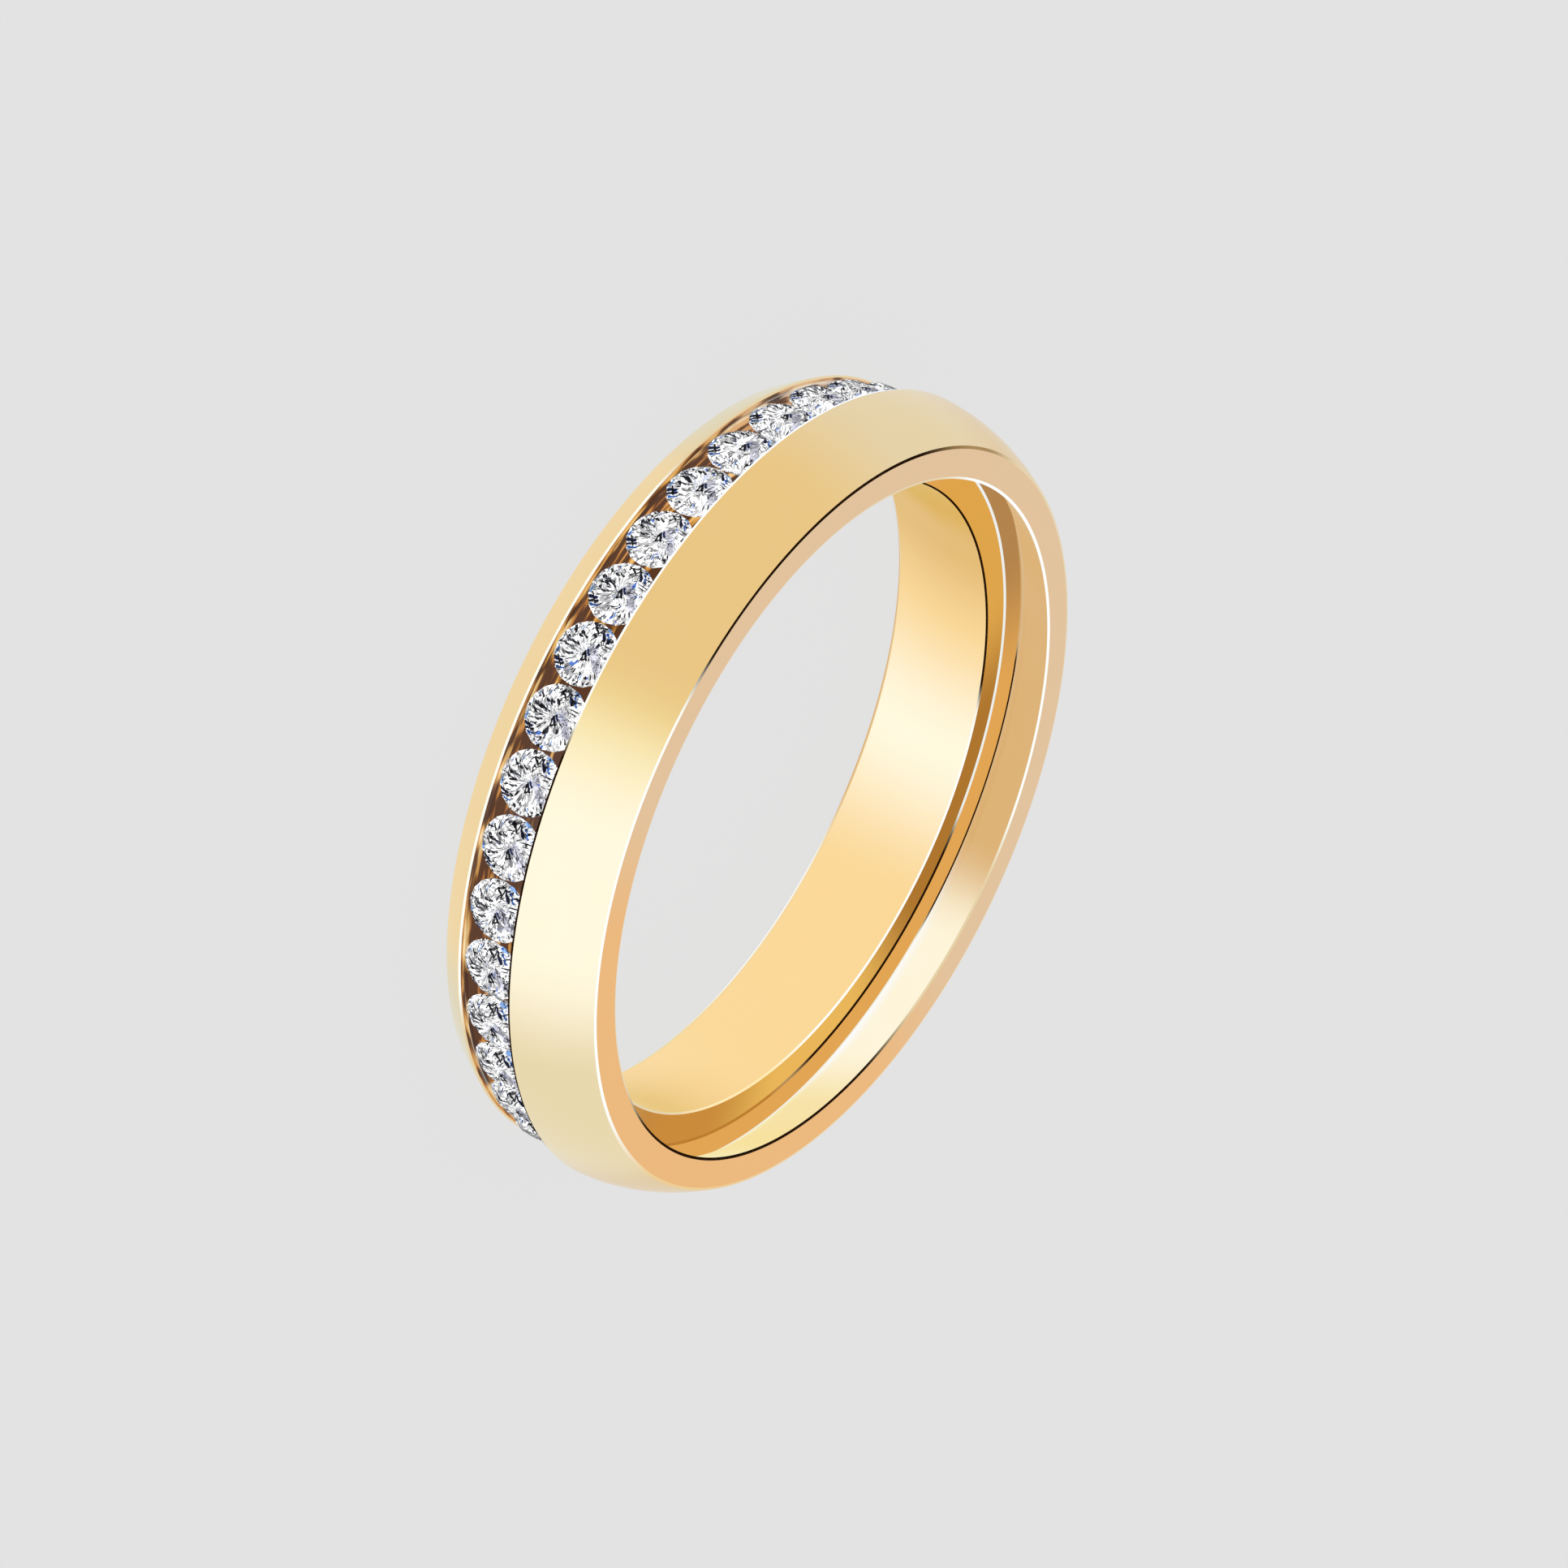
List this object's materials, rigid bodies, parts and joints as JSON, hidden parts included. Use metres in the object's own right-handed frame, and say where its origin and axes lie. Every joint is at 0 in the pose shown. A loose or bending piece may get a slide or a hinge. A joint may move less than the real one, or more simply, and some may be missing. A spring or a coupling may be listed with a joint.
{
  "type": "couple ring",
  "caption": "Polished gold finger ring with a domed band and a full row of round brilliant cut stones set in a channel.",
  "frame": {"origin": "centre of the ring in the plane of the far side face, on which it lies", "axes": "+Z along the ring's axis, from the far side face up to the near side face; +X radial, 3.7 degrees before the first stone"},
  "size_m": [0.021, 0.021, 0.0046],
  "materials": {
    "polished_gold": "mirror polished yellow gold",
    "clear_stone": "polished facets, colourless"
  },
  "bodies": {
    "root": {"band": "polished_gold", "stone_01": "clear_stone", "stone_02": "clear_stone", "stone_03": "clear_stone", "stone_04": "clear_stone", "stone_05": "clear_stone", "stone_06": "clear_stone", "stone_07": "clear_stone", "stone_08": "clear_stone", "stone_09": "clear_stone", "stone_10": "clear_stone", "stone_11": "clear_stone", "stone_12": "clear_stone", "stone_13": "clear_stone", "stone_14": "clear_stone", "stone_15": "clear_stone", "stone_16": "clear_stone", "stone_17": "clear_stone", "stone_18": "clear_stone", "stone_19": "clear_stone", "stone_20": "clear_stone", "stone_21": "clear_stone", "stone_22": "clear_stone", "stone_23": "clear_stone", "stone_24": "clear_stone", "stone_25": "clear_stone", "stone_26": "clear_stone", "stone_27": "clear_stone", "stone_28": "clear_stone", "stone_29": "clear_stone", "stone_30": "clear_stone", "stone_31": "clear_stone", "stone_32": "clear_stone", "stone_33": "clear_stone", "stone_34": "clear_stone", "stone_35": "clear_stone", "stone_36": "clear_stone"}
  },
  "joints": []
}
